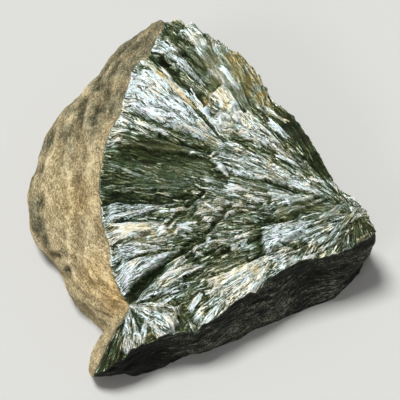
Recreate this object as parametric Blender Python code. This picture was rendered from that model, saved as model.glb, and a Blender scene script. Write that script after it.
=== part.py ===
# A rough lump of seraphinite, the feathery green chlorite.
#
# One stone, resting on its flat underside. Its broken face slopes down towards -Y and shows
# sprays of blades that all fan out from a point near the right-hand tip. A weathered skin
# wraps the left side, a dark broken wall closes the front, and a rougher one the back.
# Lengths are in millimetres until the mesh is written, which is in metres.

import math

import bmesh
import bpy
from mathutils import Vector, geometry, noise

MM = 0.001

# The broken face: a plane that climbs to the back, with a spur that dips at the front left.
FACE_HEIGHT = 22.4           # height of the face above the underside at y = 0
FACE_RISE = 0.343            # climb per millimetre towards +Y
SPUR_DIP = 0.45              # extra fall per millimetre along the spur
SPUR_START = (-17.0, -33.5)
SPUR_HEADING = (-0.8, -0.6)
SWELL_HEIGHT = 0.7           # broad unevenness of the face
SWELL_LENGTH = 19.0

# Where the blades fan out from, and how the face mesh is laid along them.
FAN_CENTRE = (35.0, -4.0)
ROW_STEP = 1.55              # along the blades
BLADE_STEP = 0.74            # across the blades
RIM_CLEARANCE = 0.5

# The relief of the face dies down where it meets the weathered skin.
SKIN_FADE_WIDTH = 2.6
SKIN_FADE_LEFT = 0.3

# The stone is moved by this much so that its box stands centred on the origin.
CENTRE_SHIFT = (0.05, -4.06)

# Ridges that run along every spray.
RIDGE_HEIGHT = 0.34
RIDGE_WIDTH = 1.5
RIDGE_LENGTH = 11.0
GROUND_RIDGES = 0.24         # finer ridges between the sprays
GROUND_RADIUS = 34.0         # distance from the fan centre where they are RIDGE_WIDTH wide

# Sprays of blades: root, tip, half angle in degrees, lift, and how far one side is canted up.
# A spray starts thin at its root, widens to its tip and ends there in a broken step.
SPRAYS = (
    ((7.5, 9.5), (-17.0, 25.5), 13, 1.5, 0.5),       # bright fan at the upper left
    ((2.0, 24.0), (-12.0, 35.0), 8, 1.5, -0.2),      # narrow plume above the black groove
    ((5.0, 25.5), (-9.0, 39.5), 13, 0.8, 0.3),
    ((4.5, 29.0), (-4.0, 38.5), 14, 1.3, 0.0),
    ((14.5, 12.0), (0.5, 36.5), 10, 0.9, 0.4),       # grey-green belt
    ((20.0, 11.0), (7.5, 33.0), 9, 1.0, -0.5),       # belt along the back edge
    ((13.0, 13.0), (2.5, 22.5), 17, 1.7, 0.0),       # pale lump
    ((23.0, 6.5), (8.0, 17.0), 11, 1.1, 0.4),
    ((31.5, 0.5), (17.0, 20.0), 10, 0.7, -0.5),
    ((31.0, -1.5), (3.0, 9.5), 8, 1.0, 0.3),         # silvery middle belt
    ((8.0, 7.0), (-22.0, 13.5), 5, 1.0, 0.4),        # ledge over the dark field
    ((5.5, 1.0), (-24.0, 4.5), 10, 0.4, 0.2),        # dark striped field
    ((-4.5, -2.5), (-23.5, -5.5), 8, 1.1, -0.2),
    ((-6.5, -6.5), (-23.5, -10.5), 11, 1.2, 0.2),
    ((-7.0, -12.0), (-22.0, -14.0), 11, 0.9, 0.0),
    ((-4.0, -12.5), (-21.0, -21.0), 11, 1.5, -0.4),  # fan above the dark gully
    ((-1.5, -12.5), (-7.5, -17.5), 12, 1.3, 0.0),
    ((2.5, -15.5), (-10.0, -20.5), 10, 1.2, 0.0),
    ((-16.0, -24.8), (-3.5, -17.5), 16, 0.9, 0.3),   # opens to the right from the notch
    ((-16.2, -24.6), (-4.8, -29.8), 24, 1.5, 0.3),   # silver plates of the spur
    ((-16.0, -25.0), (-15.0, -35.5), 19, 1.2, -0.3),
    ((-16.5, -27.5), (-22.5, -39.5), 20, 0.8, 0.3),
    ((-9.0, -20.5), (-3.0, -32.0), 16, 0.3, 0.2),    # sunken olive fan
    ((10.0, -16.5), (0.5, -30.5), 14, 1.2, 0.2),
    ((21.0, -11.5), (3.5, -24.5), 15, 1.5, 0.2),     # cream lump above the front wall
    ((29.5, -5.0), (13.5, -11.0), 11, 1.3, 0.3),
    ((37.0, -6.5), (13.0, -20.0), 7, 1.0, -0.3),
    ((38.0, -4.5), (22.5, -9.0), 17, 0.8, 0.2),
    ((31.0, -0.5), (16.0, -3.5), 13, 0.9, 0.3),      # smooth dark lens
    ((15.0, -2.5), (-1.0, -4.5), 11, 1.0, -0.2),
    ((22.5, -6.5), (3.5, -11.5), 7, 0.8, 0.2),
    ((11.5, -9.5), (-2.0, -13.5), 7, 0.9, 0.0),
)

# Cracks and gullies: half width, depth, then the points that they pass through.
CRACKS = (
    (1.5, 1.9, (-13.5, 33.0), (-7.0, 28.5), (-2.5, 24.0), (3.0, 18.5)),   # black groove
    (1.7, 1.9, (-17.0, -24.5), (-12.5, -20.5), (-8.0, -16.5), (0.0, -10.5)),
    (1.5, 1.2, (-24.0, -2.3), (-16.0, -2.1), (-9.0, -1.8), (-2.0, -0.8)),
    (0.9, 1.1, (3.0, 9.0), (-2.5, 11.2), (-9.0, 12.8)),
    (0.8, 1.1, (1.0, 0.0), (-2.5, -3.0), (-7.0, -7.0)),
    (0.9, 1.2, (14.0, -2.5), (7.0, -3.5), (0.0, -9.5)),
    (0.8, 0.9, (16.5, -3.2), (22.5, -3.2), (28.5, -1.2)),
    (0.8, 1.0, (21.0, -11.5), (16.0, -12.8), (11.0, -14.5)),
    (0.8, 0.9, (-9.0, -25.5), (-5.0, -27.5), (-4.0, -31.5)),
    (0.8, 0.9, (9.5, 19.0), (7.5, 16.0), (9.0, 14.0)),
    (0.7, 0.8, (11.5, 14.5), (17.5, 11.5), (23.0, 7.5)),
)

# The weathered skin, from the top corner round the left to the tip of the spur. Each station
# is the rim of the face, a shoulder, the widest point and the foot, the last at height 0.
SKIN_STATIONS = (
    ((-8.0, 39.3), (-10.1, 42.8, 33.0), (-11.0, 46.3, 20.0), (-10.0, 44.5)),
    ((-11.7, 31.8), (-14.8, 42.2, 29.3), (-17.2, 45.6, 17.0), (-16.2, 43.0)),
    ((-15.2, 28.2), (-20.0, 37.8, 25.6), (-23.0, 40.8, 15.0), (-21.5, 38.0)),
    ((-17.2, 21.5), (-23.5, 33.0, 24.0), (-27.2, 36.0, 13.5), (-26.0, 34.0)),
    ((-18.3, 17.8), (-28.0, 31.2, 20.0), (-30.4, 32.4, 13.0), (-29.0, 30.2)),
    ((-20.3, 14.0), (-32.2, 27.6, 18.5), (-34.2, 27.8, 12.0), (-32.2, 26.0)),
    ((-21.7, 9.0), (-35.2, 23.6, 17.0), (-36.8, 23.3, 11.0), (-34.8, 22.0)),
    ((-22.7, 2.9), (-36.2, 18.2, 15.8), (-38.0, 17.0, 10.0), (-36.0, 16.2)),
    ((-22.6, -1.2), (-37.6, 12.8, 14.3), (-39.4, 11.4, 9.0), (-37.3, 10.8)),
    ((-22.1, -5.0), (-38.6, 8.2, 12.9), (-40.6, 7.2, 8.2), (-38.3, 6.8)),
    ((-21.3, -8.8), (-37.8, 2.3, 12.7), (-40.5, 2.8, 7.6), (-38.4, 3.3)),
    ((-20.1, -12.7), (-35.8, -3.6, 11.5), (-38.8, -2.0, 6.8), (-37.3, 0.3)),
    ((-19.8, -16.7), (-32.0, -9.3, 10.5), (-35.0, -7.0, 6.3), (-33.5, -4.8)),
    ((-18.7, -20.2), (-29.2, -14.3, 9.5), (-32.4, -12.2, 5.6), (-30.8, -10.0)),
    ((-17.1, -22.6), (-26.8, -19.2, 8.6), (-30.0, -17.4, 4.8), (-28.4, -15.2)),
    ((-16.1, -24.0), (-22.4, -23.0, 9.5), (-26.0, -21.2, 4.6), (-24.6, -19.2)),
    ((-15.7, -25.2), (-19.4, -25.6, 9.3), (-21.7, -25.3, 4.4), (-20.8, -23.6)),
    ((-16.8, -27.3), (-20.2, -28.0, 9.0), (-22.6, -27.5, 4.6), (-21.6, -25.8)),
    ((-18.5, -29.9), (-21.7, -30.9, 8.6), (-24.0, -30.6, 4.3), (-23.0, -28.7)),
    ((-20.1, -32.5), (-22.8, -33.3, 7.6), (-24.6, -33.2, 3.8), (-23.7, -31.3)),
    ((-22.0, -35.5), (-23.8, -36.2, 5.8), (-24.9, -35.9, 3.2), (-24.1, -34.0)),
    ((-23.7, -37.7), (-24.2, -38.0, 4.4), (-24.2, -37.6, 2.4), (-23.4, -36.0)),
)

# The dark front wall, from the spur to the right-hand tip: rim of the face, then foot.
FRONT_STATIONS = (
    ((-21.2, -38.1), (-20.8, -35.8)),
    ((-18.9, -37.1), (-18.6, -35.9)),
    ((-16.2, -35.6), (-15.3, -36.0)),
    ((-11.6, -32.9), (-11.0, -33.9)),
    ((-8.2, -32.1), (-7.8, -32.3)),
    ((-4.7, -30.8), (-4.5, -30.6)),
    ((-0.9, -30.8), (-1.0, -29.4)),
    ((1.6, -29.3), (1.6, -28.4)),
    ((4.2, -27.8), (4.4, -27.4)),
    ((7.8, -24.5), (8.3, -25.6)),
    ((12.3, -22.2), (13.0, -22.6)),
    ((15.3, -19.5), (16.0, -21.2)),
    ((19.4, -17.1), (20.1, -19.3)),
    ((22.8, -15.6), (23.9, -17.7)),
    ((26.9, -14.5), (28.2, -15.9)),
    ((29.8, -13.8), (31.5, -14.5)),
    ((33.9, -12.3), (34.9, -10.9)),
    ((37.4, -10.5), (37.2, -7.6)),
    ((40.2, -8.5), (38.7, -4.6)),
)

# The broken wall behind, from the right-hand tip back to the top corner.
BACK_STATIONS = (
    ((38.9, -5.9), (38.8, -2.4)),
    ((37.6, -3.2), (38.2, -0.6)),
    ((35.4, -1.2), (36.6, 0.8)),
    ((32.7, 0.4), (34.0, 2.4)),
    ((30.7, 2.7), (32.6, 4.8)),
    ((28.2, 6.8), (29.6, 8.4)),
    ((26.2, 9.7), (27.8, 11.4)),
    ((24.4, 12.5), (26.0, 15.0)),
    ((22.2, 16.1), (23.0, 19.2)),
    ((19.2, 18.9), (19.6, 22.2)),
    ((16.7, 21.7), (17.2, 24.6)),
    ((15.8, 24.0), (15.4, 27.6)),
    ((12.8, 27.5), (12.8, 30.6)),
    ((9.4, 31.3), (9.6, 34.2)),
    ((5.2, 34.2), (6.0, 37.4)),
    ((2.8, 35.8), (3.0, 39.0)),
    ((-1.4, 38.4), (-1.0, 41.6)),
    ((-5.2, 40.1), (-5.8, 43.6)),
)

# Swells (positive) and hollows (negative) of the skin: centre, radius, height.
SKIN_LUMPS = (
    ((-22.0, 24.0, 27.0), 5.0, -1.1),
    ((-25.5, 16.0, 23.5), 4.5, -1.2),
    ((-19.5, 31.0, 29.0), 4.0, 0.8),
    ((-30.0, 27.0, 19.0), 5.0, 0.9),
    ((-30.0, 12.0, 19.0), 5.0, 0.7),
    ((-38.5, 9.0, 12.0), 6.0, 0.9),
    ((-38.0, -2.0, 8.0), 4.0, -0.8),
    ((-27.5, 2.0, 18.5), 6.0, -0.7),
    ((-25.5, -13.0, 13.5), 6.0, 0.8),
    ((-33.5, -9.0, 7.0), 3.5, -0.8),
    ((-20.0, -21.5, 12.0), 4.0, 0.5),
)
# The same for the broken walls: two scoops and a corner in front, broad facets behind.
WALL_LUMPS = (
    ((24.0, -15.5, 10.0), 10.0, -1.5),
    ((2.0, -29.0, 6.0), 6.0, 0.9),
    ((-10.0, -33.0, 5.0), 6.0, -1.0),
    ((33.0, -12.5, 7.0), 4.5, 0.9),
    ((31.0, 4.0, 11.0), 9.0, -1.6),
    ((20.0, 21.0, 12.0), 10.0, 1.6),
    ((8.0, 35.0, 19.0), 9.0, -1.6),
    ((-3.0, 42.0, 14.0), 8.0, 1.0),
)
SKIN_CREASE = ((-22.0, 31.0, 26.0), (-28.5, 20.0, 21.0), (-31.5, 10.0, 17.5), (-31.0, -3.0, 13.5))
CREASE_WIDTH = 1.7
CREASE_DEPTH = 1.1

SKIN_STEP = 1.25             # column spacing along the rim under the skin
WALL_STEP = 1.5              # column spacing along the broken walls
ROWS = 12                    # rows of faces from the rim to the underside
SKIN_ROUGHNESS = (0.8, 7.5, 0.35, 3.0)     # height and length of two sizes of lump
SKIN_STRETCH = 0.5                         # lumps are drawn out along the rim, near Y
WALL_ROUGHNESS = (1.1, 8.5, 0.55, 2.6)
WALL_BULGE = 0.5             # how far the front wall stands out at mid height
BACK_BULGE = 1.4

STONE_COLOUR = (0.20, 0.23, 0.16, 1.0)


def clear_scene():
    for item in list(bpy.data.objects):
        bpy.data.objects.remove(item, do_unlink=True)


def smooth_step(low, high, value):
    t = min(1.0, max(0.0, (value - low) / (high - low)))
    return t * t * (3.0 - 2.0 * t)


def distance_to_path(point, path):
    nearest = 1.0e9
    for start, end in zip(path, path[1:]):
        start, end = Vector(start), Vector(end)
        run = end - start
        t = min(1.0, max(0.0, (point - start).dot(run) / run.length_squared))
        nearest = min(nearest, (point - start - run * t).length)
    return nearest


def ridges(across, along, seed):
    # Sharp-backed ridges, long in one direction and narrow in the other.
    sample = noise.noise(Vector((across / RIDGE_WIDTH, along / RIDGE_LENGTH, seed)))
    return 1.0 - 2.0 * abs(sample)


def spray_height(x, y, spray, number):
    root, tip, half_angle, lift, cant = spray
    length = math.dist(root, tip)
    heading = math.atan2(tip[1] - root[1], tip[0] - root[0])
    reach = math.hypot(x - root[0], y - root[1])
    if reach > length * 1.25:
        return 0.0
    angle = math.remainder(math.atan2(y - root[1], x - root[0]) - heading, math.tau)
    spread = math.radians(half_angle)
    across = angle / spread
    if abs(across) > 1.3:
        return 0.0
    side = reach * angle
    ragged = 0.10 * noise.noise(Vector((side / 1.3, 7.0, number)))
    wavy = 0.16 * noise.noise(Vector((reach / 3.0, 3.0, number)))
    body = 1.0 - smooth_step(0.80, 1.02, abs(across + wavy))
    ending = 1.0 - smooth_step(0.93, 1.0, reach / length + ragged)
    rise = smooth_step(-0.05, 0.55, reach / length)
    shape = lift + cant * across + RIDGE_HEIGHT * ridges(side, reach, number)
    return shape * body * ending * rise


def crack_depth(point, crack):
    half_width, depth = crack[0], crack[1]
    path = [(x, y, 0.0) for x, y in crack[2:]]
    away = distance_to_path(point, path)
    return depth * (1.0 - smooth_step(0.25, 1.0, away / half_width))


def skin_fade(point):
    rim = [(*station[0], 0.0) for station in SKIN_STATIONS]
    away = distance_to_path(point, rim)
    return SKIN_FADE_LEFT + (1.0 - SKIN_FADE_LEFT) * smooth_step(0.0, SKIN_FADE_WIDTH, away)


def face_height(x, y):
    point = Vector((x, y, 0.0))
    z = FACE_HEIGHT + FACE_RISE * y
    along_spur = (x - SPUR_START[0]) * SPUR_HEADING[0] + (y - SPUR_START[1]) * SPUR_HEADING[1]
    z -= SPUR_DIP * max(0.0, along_spur)
    z += SWELL_HEIGHT * noise.noise(Vector((x / SWELL_LENGTH, y / SWELL_LENGTH, 2.0)))
    reach = math.dist((x, y), FAN_CENTRE)
    bearing = math.atan2(y - FAN_CENTRE[1], x - FAN_CENTRE[0]) % math.tau
    relief = GROUND_RIDGES * ridges(bearing * GROUND_RADIUS, reach, 0.5)
    relief += max(spray_height(x, y, spray, number) for number, spray in enumerate(SPRAYS))
    relief -= max(crack_depth(point, crack) for crack in CRACKS)
    return z + relief * skin_fade(point)


def face_point(x, y):
    return Vector((x, y, face_height(x, y)))


def spline_point(before, start, end, after, t):
    # Catmull-Rom curve between start and end.
    return 0.5 * (2.0 * start + (end - before) * t
                  + (2.0 * before - 5.0 * start + 4.0 * end - after) * t * t
                  + (3.0 * start - before - 3.0 * end + after) * t ** 3)


def skin_controls():
    columns = []
    for rim, shoulder, widest, foot in SKIN_STATIONS:
        columns.append([Vector((*rim, 0.0)), Vector(shoulder), Vector(widest), Vector((*foot, 0.0))])
    return columns


def wall_controls(stations, bulge):
    columns = []
    for index, (rim, foot) in enumerate(stations):
        before = Vector(stations[max(0, index - 1)][0])
        after = Vector(stations[min(len(stations) - 1, index + 1)][0])
        run = (after - before).normalized()
        outward = Vector((run.y, -run.x, 0.0))
        top = face_point(*rim)
        bottom = Vector((*foot, 0.0))
        upper = top.lerp(bottom, 0.33) + outward * bulge * 0.8
        lower = top.lerp(bottom, 0.70) + outward * bulge
        columns.append([Vector((*rim, 0.0)), upper, lower, bottom])
    return columns


def sample_columns(controls, step, smooth):
    # In-between columns of control points, closer than step along the rim.
    columns = []
    last = len(controls) - 1
    for index in range(last):
        before = controls[max(0, index - 1)]
        start, end = controls[index], controls[index + 1]
        after = controls[min(last, index + 2)]
        rim_run = (end[0] - start[0]).length
        waist_run = (end[2] - start[2]).length
        count = max(1, math.ceil(max(rim_run, 0.55 * waist_run) / step))
        for part in range(count):
            t = part / count
            if smooth:
                column = [spline_point(*four, t) for four in zip(before, start, end, after)]
            else:
                column = [a.lerp(b, t) for a, b in zip(start, end)]
            columns.append(column)
    return columns


def column_profile(column):
    # Points down one column, from the rim to the foot, evenly spaced along the curve.
    rim = face_point(column[0].x, column[0].y)
    shoulder, widest, foot = column[1], column[2], column[3]
    lead_in = rim + (rim - shoulder) * 0.35
    lead_out = foot + Vector((foot.x - widest.x, foot.y - widest.y, -6.0)) * 0.5
    knots = [lead_in, rim, shoulder, widest, foot, lead_out]
    fine = []
    for index in range(1, 4):
        for part in range(16):
            fine.append(spline_point(*knots[index - 1:index + 3], part / 16))
    fine.append(foot)
    lengths = [0.0]
    for start, end in zip(fine, fine[1:]):
        lengths.append(lengths[-1] + (end - start).length)
    points = []
    for row in range(ROWS + 1):
        target = lengths[-1] * row / ROWS
        index = 0
        while index < len(fine) - 2 and lengths[index + 1] < target:
            index += 1
        t = (target - lengths[index]) / (lengths[index + 1] - lengths[index])
        points.append(fine[index].lerp(fine[index + 1], min(1.0, t)))
    return points


def lump_relief(point, lumps):
    height = 0.0
    for centre, radius, lift in lumps:
        away = (point - Vector(centre)).length / radius
        height += lift * (1.0 - smooth_step(0.0, 1.0, away))
    return height


def skin_relief(point):
    height = lump_relief(point, SKIN_LUMPS)
    away = distance_to_path(point, SKIN_CREASE)
    height -= CREASE_DEPTH * (1.0 - smooth_step(0.0, 1.0, away / CREASE_WIDTH))
    big, big_length, small, small_length = SKIN_ROUGHNESS
    drawn_out = Vector((point.x, point.y * SKIN_STRETCH, point.z))
    height += big * noise.noise(drawn_out / big_length)
    height += small * noise.noise(drawn_out / small_length)
    return height


def wall_relief(point):
    # Broken steps that run level along the wall, over hollow scoops.
    big, big_length, small, small_length = WALL_ROUGHNESS
    stretched = Vector((point.x / 2.2, point.y / 2.2, point.z * 1.3))
    scoop = big * noise.noise(point / big_length + Vector((9.0, 0.0, 0.0)))
    steps = small * (1.0 - 2.0 * abs(noise.noise(stretched / small_length)))
    return scoop + steps + lump_relief(point, WALL_LUMPS)


def roughen(grid, kinds):
    # Push every side point out or in along the surface, but keep the rim and the foot.
    count = len(grid)
    rough = []
    for index, column in enumerate(grid):
        left, right = grid[index - 1], grid[(index + 1) % count]
        moved = [column[0]]
        for row in range(1, ROWS):
            along = right[row] - left[row]
            down = column[row + 1] - column[row - 1]
            outward = down.cross(along).normalized()
            relief = skin_relief if kinds[index] == "skin" else wall_relief
            fade = smooth_step(0.0, 3.0, row) * smooth_step(0.0, 2.0, ROWS - row)
            moved.append(column[row] + outward * relief(column[row]) * fade)
        moved.append(column[ROWS])
        rough.append(moved)
    return rough


def side_grid():
    skin = sample_columns(skin_controls() + [wall_controls(FRONT_STATIONS, WALL_BULGE)[0]],
                          SKIN_STEP, True)
    front = sample_columns(wall_controls(FRONT_STATIONS, WALL_BULGE)
                           + [wall_controls(BACK_STATIONS, BACK_BULGE)[0]], WALL_STEP, False)
    back = sample_columns(wall_controls(BACK_STATIONS, BACK_BULGE) + [skin_controls()[0]],
                          WALL_STEP, False)
    kinds = ["skin"] * len(skin) + ["wall"] * (len(front) + len(back))
    grid = [column_profile(column) for column in skin + front + back]
    return roughen(grid, kinds)


def inside_with_clearance(x, y, rim):
    inside = False
    clearance = 1.0e9
    for start, end in zip(rim, rim[1:] + rim[:1]):
        if (start.y > y) != (end.y > y):
            crossing = start.x + (y - start.y) / (end.y - start.y) * (end.x - start.x)
            if x < crossing:
                inside = not inside
        run = end - start
        t = ((x - start.x) * run.x + (y - start.y) * run.y) / (run.x ** 2 + run.y ** 2)
        t = min(1.0, max(0.0, t))
        clearance = min(clearance, math.hypot(x - start.x - run.x * t, y - start.y - run.y * t))
    return inside and clearance > RIM_CLEARANCE


def blade_grid(rim):
    # Rings of points about the fan centre: wide apart along the blades, close across them.
    points = []
    farthest = max(math.dist((p.x, p.y), FAN_CENTRE) for p in rim)
    for ring in range(1, math.ceil(farthest / ROW_STEP)):
        reach = ring * ROW_STEP
        count = math.ceil(math.tau * reach / BLADE_STEP)
        for step in range(count):
            bearing = math.tau * (step + 0.5 * (ring % 2)) / count
            x = FAN_CENTRE[0] + reach * math.cos(bearing)
            y = FAN_CENTRE[1] + reach * math.sin(bearing)
            if inside_with_clearance(x, y, rim):
                points.append(Vector((x, y)))
    return points


def build_face(bm, rim_verts):
    rim = [Vector((v.co.x, v.co.y)) for v in rim_verts]
    flat = rim + blade_grid(rim)
    edges = [(i, (i + 1) % len(rim)) for i in range(len(rim))]
    corners, _, triangles, sources, _, _ = geometry.delaunay_2d_cdt(flat, edges, [], 1, 1.0e-5)
    verts = []
    for corner, source in zip(corners, sources):
        if source and source[0] < len(rim):
            verts.append(rim_verts[source[0]])
        else:
            verts.append(bm.verts.new(face_point(corner.x, corner.y)))
    for triangle in triangles:
        bm.faces.new([verts[i] for i in triangle])


def build_sides(bm, grid):
    columns = [[bm.verts.new(point) for point in column] for column in grid]
    for index, column in enumerate(columns):
        neighbour = columns[(index + 1) % len(columns)]
        for row in range(ROWS):
            bm.faces.new((column[row], column[row + 1], neighbour[row + 1], neighbour[row]))
    bm.faces.new([column[ROWS] for column in reversed(columns)])
    return [column[0] for column in columns]


def make_material(name, colour, roughness, metallic):
    material = bpy.data.materials.new(name)
    material.use_nodes = True
    shader = material.node_tree.nodes["Principled BSDF"]
    shader.inputs["Base Color"].default_value = colour
    shader.inputs["Roughness"].default_value = roughness
    shader.inputs["Metallic"].default_value = metallic
    material.diffuse_color = colour
    return material


def make_stone():
    bm = bmesh.new()
    rim_verts = build_sides(bm, side_grid())
    build_face(bm, rim_verts)
    bmesh.ops.triangulate(bm, faces=bm.faces[:])
    bmesh.ops.translate(bm, verts=bm.verts, vec=(*CENTRE_SHIFT, 0.0))
    bmesh.ops.scale(bm, verts=bm.verts, vec=(MM, MM, MM))
    bmesh.ops.recalc_face_normals(bm, faces=bm.faces[:])
    mesh = bpy.data.meshes.new("seraphinite_chunk")
    bm.to_mesh(mesh)
    bm.free()
    stone = bpy.data.objects.new("seraphinite_chunk", mesh)
    bpy.context.collection.objects.link(stone)
    mesh.materials.append(make_material("seraphinite", STONE_COLOUR, 0.45, 0.0))
    return stone


clear_scene()
make_stone()
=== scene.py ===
import math
import random

import bpy
import numpy as np
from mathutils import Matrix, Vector, kdtree, noise


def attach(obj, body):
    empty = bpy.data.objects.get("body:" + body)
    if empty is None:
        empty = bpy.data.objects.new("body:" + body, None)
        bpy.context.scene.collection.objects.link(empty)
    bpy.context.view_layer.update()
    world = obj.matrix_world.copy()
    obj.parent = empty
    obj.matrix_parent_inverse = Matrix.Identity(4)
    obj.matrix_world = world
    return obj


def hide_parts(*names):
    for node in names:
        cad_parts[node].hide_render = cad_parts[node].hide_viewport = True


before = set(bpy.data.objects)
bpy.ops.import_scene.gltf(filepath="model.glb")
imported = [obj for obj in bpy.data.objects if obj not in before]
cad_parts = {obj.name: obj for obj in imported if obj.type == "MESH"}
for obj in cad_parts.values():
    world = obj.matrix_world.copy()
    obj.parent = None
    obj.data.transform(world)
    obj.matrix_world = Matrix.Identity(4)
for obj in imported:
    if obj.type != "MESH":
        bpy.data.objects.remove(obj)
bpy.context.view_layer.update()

mm = 0.001

# Where the stone's own measurements start from, in mm, seen from the middle of its base.
stoneShift = (0.05, -4.06)

# The broken face, as the solid has it: a sloping plane, its swell and its ridges.
face = {
    "height": 22.4, "rise": 0.343,
    "spurDip": 0.45, "spurStart": (-17.0, -33.5), "spurHeading": (-0.8, -0.6),
    "swellHeight": 0.7, "swellLength": 19.0,
    "fanCentre": (35.0, -4.0),
    "ridgeHeight": 0.34, "ridgeWidth": 1.5, "ridgeLength": 11.0,
    "groundRidges": 0.24, "groundRadius": 34.0,
    "skinFadeWidth": 2.6, "skinFadeLeft": 0.3,
}

# Each spray of blades: root, tip, half angle, lift, cant, then its look:
# brightness, ochre stain and bluish pearl, each from 0 to 1. The brightness holds both
# the stone's own tone and painted silvery sheen.
sprays = (
    ((7.5, 9.5), (-17.0, 25.5), 13, 1.5, 0.5, 0.84, 0.05, 0.8),
    ((2.0, 24.0), (-12.0, 35.0), 8, 1.5, -0.2, 0.72, 0.0, 0.7),
    ((5.0, 25.5), (-9.0, 39.5), 13, 0.8, 0.3, 0.34, 0.05, 0.1),
    ((4.5, 29.0), (-4.0, 38.5), 14, 1.3, 0.0, 0.66, 0.1, 0.2),
    ((14.5, 12.0), (0.5, 36.5), 10, 0.9, 0.4, 0.5, 0.05, 0.1),
    ((20.0, 11.0), (7.5, 33.0), 9, 1.0, -0.5, 0.43, 0.75, 0.0),
    ((13.0, 13.0), (2.5, 22.5), 17, 1.7, 0.0, 0.74, 0.25, 0.1),
    ((23.0, 6.5), (8.0, 17.0), 11, 1.1, 0.4, 0.84, 0.2, 0.2),
    ((31.5, 0.5), (17.0, 20.0), 10, 0.7, -0.5, 0.26, 0.1, 0.0),
    ((31.0, -1.5), (3.0, 9.5), 8, 1.0, 0.3, 0.58, 0.05, 0.4),
    ((8.0, 7.0), (-22.0, 13.5), 5, 1.0, 0.4, 0.5, 0.15, 0.2),
    ((5.5, 1.0), (-24.0, 4.5), 10, 0.4, 0.2, 0.28, 0.0, 0.1),
    ((-4.5, -2.5), (-23.5, -5.5), 8, 1.1, -0.2, 0.69, 0.0, 0.8),
    ((-6.5, -6.5), (-23.5, -10.5), 11, 1.2, 0.2, 0.86, 0.2, 0.1),
    ((-7.0, -12.0), (-22.0, -14.0), 11, 0.9, 0.0, 0.74, 0.05, 0.6),
    ((-4.0, -12.5), (-21.0, -21.0), 11, 1.5, -0.4, 0.73, 0.05, 0.8),
    ((-1.5, -12.5), (-7.5, -17.5), 12, 1.3, 0.0, 0.8, 0.05, 0.2),
    ((2.5, -15.5), (-10.0, -20.5), 10, 1.2, 0.0, 0.66, 0.1, 0.2),
    ((-16.0, -24.8), (-3.5, -17.5), 16, 0.9, 0.3, 0.58, 0.0, 0.9),
    ((-16.2, -24.6), (-4.8, -29.8), 24, 1.5, 0.3, 0.71, 0.05, 0.3),
    ((-16.0, -25.0), (-15.0, -35.5), 19, 1.2, -0.3, 0.71, 0.1, 0.3),
    ((-16.5, -27.5), (-22.5, -39.5), 20, 0.8, 0.3, 0.34, 0.2, 0.1),
    ((-9.0, -20.5), (-3.0, -32.0), 16, 0.3, 0.2, 0.36, 0.1, 0.0),
    ((10.0, -16.5), (0.5, -30.5), 14, 1.2, 0.2, 0.64, 0.1, 0.1),
    ((21.0, -11.5), (3.5, -24.5), 15, 1.5, 0.2, 0.8, 0.2, 0.1),
    ((29.5, -5.0), (13.5, -11.0), 11, 1.3, 0.3, 0.8, 0.05, 0.7),
    ((37.0, -6.5), (13.0, -20.0), 7, 1.0, -0.3, 0.5, 0.1, 0.2),
    ((38.0, -4.5), (22.5, -9.0), 17, 0.8, 0.2, 0.5, 0.0, 0.6),
    ((31.0, -0.5), (16.0, -3.5), 13, 0.9, 0.3, 0.45, 0.05, 0.2),
    ((15.0, -2.5), (-1.0, -4.5), 11, 1.0, -0.2, 0.6, 0.15, 0.1),
    ((22.5, -6.5), (3.5, -11.5), 7, 0.8, 0.2, 0.44, 0.1, 0.1),
    ((11.5, -9.5), (-2.0, -13.5), 7, 0.9, 0.0, 0.56, 0.1, 0.1),
)
# The same look where no spray lies.
groundLook = (0.38, 0.05, 0.1)

# Cracks in the face: half width, depth, then the points along each.
cracks = (
    (1.5, 1.9, (-13.5, 33.0), (-7.0, 28.5), (-2.5, 24.0), (3.0, 18.5)),
    (1.7, 1.9, (-17.0, -24.5), (-12.5, -20.5), (-8.0, -16.5), (0.0, -10.5)),
    (1.5, 1.2, (-24.0, -2.3), (-16.0, -2.1), (-9.0, -1.8), (-2.0, -0.8)),
    (0.9, 1.1, (3.0, 9.0), (-2.5, 11.2), (-9.0, 12.8)),
    (0.8, 1.1, (1.0, 0.0), (-2.5, -3.0), (-7.0, -7.0)),
    (0.9, 1.2, (14.0, -2.5), (7.0, -3.5), (0.0, -9.5)),
    (0.8, 0.9, (16.5, -3.2), (22.5, -3.2), (28.5, -1.2)),
    (0.8, 1.0, (21.0, -11.5), (16.0, -12.8), (11.0, -14.5)),
    (0.8, 0.9, (-9.0, -25.5), (-5.0, -27.5), (-4.0, -31.5)),
    (0.8, 0.9, (9.5, 19.0), (7.5, 16.0), (9.0, 14.0)),
    (0.7, 0.8, (11.5, 14.5), (17.5, 11.5), (23.0, 7.5)),
)

# Rim of the face under the weathered skin, from the top corner to the tip of the spur.
skinRim = (
    (-8.0, 39.3), (-11.7, 31.8), (-15.2, 28.2), (-17.2, 21.5), (-18.3, 17.8), (-20.3, 14.0),
    (-21.7, 9.0), (-22.7, 2.9), (-22.6, -1.2), (-22.1, -5.0), (-21.3, -8.8), (-20.1, -12.7),
    (-19.8, -16.7), (-18.7, -20.2), (-17.1, -22.6), (-16.1, -24.0), (-15.7, -25.2),
    (-16.8, -27.3), (-18.5, -29.9), (-20.1, -32.5), (-22.0, -35.5), (-23.7, -37.7),
)
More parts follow.
